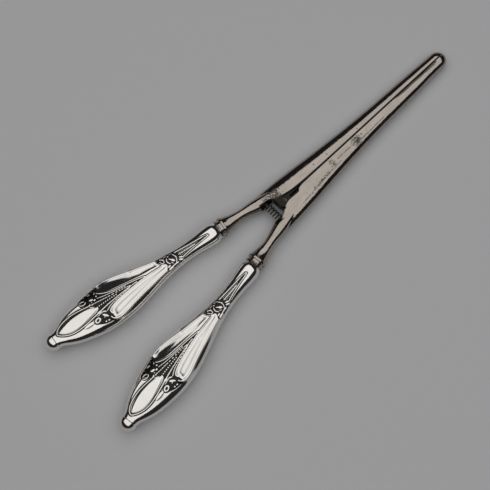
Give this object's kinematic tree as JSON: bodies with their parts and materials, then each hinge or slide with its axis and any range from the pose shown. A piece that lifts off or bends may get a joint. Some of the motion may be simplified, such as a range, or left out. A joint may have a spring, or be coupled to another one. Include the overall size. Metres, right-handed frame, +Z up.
{
  "type": "glove stretcher",
  "caption": "Hand tool with spring-closed tapering steel jaws and ornamented silver handles; squeezing the handles spreads the jaws inside a glove finger.",
  "frame": {"origin": "on the table under the middle of the tool's length and width", "axes": "+X along the tool towards the jaw tips, +Y to the side of the arm with the hinge ears, +Z up, along the hinge pin"},
  "size_m": [0.22, 0.0598, 0.011],
  "materials": {
    "plated_steel": "worn nickel plate over forged steel, polished, with fine pits and rubbed patches",
    "dark_steel": "oiled and tarnished bare steel",
    "silver": "bright polished silver with dark oxide left in the recesses",
    "handle_pitch": "dull set pitch"
  },
  "bodies": {
    "left_side": {"left_arm": "plated_steel", "hinge_pin": "dark_steel", "return_spring": "dark_steel", "left_spring_peg": "dark_steel", "left_ferrule": "silver", "left_handle_top_shell": "silver", "left_handle_bottom_shell": "silver", "left_handle_filling": "handle_pitch"},
    "right_side": {"right_arm": "plated_steel", "right_spring_peg": "dark_steel", "right_ferrule": "silver", "right_handle_top_shell": "silver", "right_handle_bottom_shell": "silver", "right_handle_filling": "handle_pitch"}
  },
  "joints": [
    {"name": "squeeze_hinge", "type": "hinge", "parent": "left_side", "child": "right_side", "pos_m": [0.00701, 0, 0.0055], "axis": [0, 0, -1], "range_deg": [0, 11], "stiffness_Nm_per_rad": 0.07, "springref_deg": -22.92, "deforming": ["return_spring"]}
  ]
}
